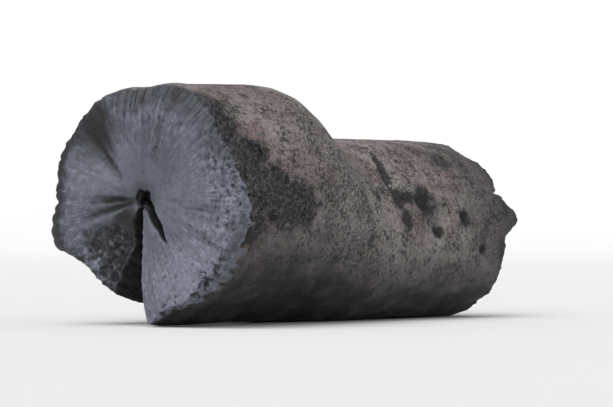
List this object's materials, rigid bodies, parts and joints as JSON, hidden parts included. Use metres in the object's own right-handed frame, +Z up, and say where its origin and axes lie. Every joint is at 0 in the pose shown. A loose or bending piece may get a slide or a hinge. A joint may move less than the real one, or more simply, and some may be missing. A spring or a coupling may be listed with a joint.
{
  "type": "charcoal lump",
  "caption": "Lump of hardwood charcoal: a short charred branch lying on its side, with a rayed open end, a deep split, a swollen shoulder and a rough broken far end.",
  "frame": {"origin": "centre of the lump's bounding box in plan, on the surface that it lies on", "axes": "+X along the branch from the open, split end to the broken far end, +Z up, +Y to the left of the open end seen from outside"},
  "size_m": [0.1414, 0.066, 0.0643],
  "materials": {
    "charred_wood": "charred hardwood, satin and silvery grey on the open end, matt and warm grey on the bark skin"
  },
  "bodies": {
    "root": {"charcoal_lump": "charred_wood"}
  },
  "joints": []
}
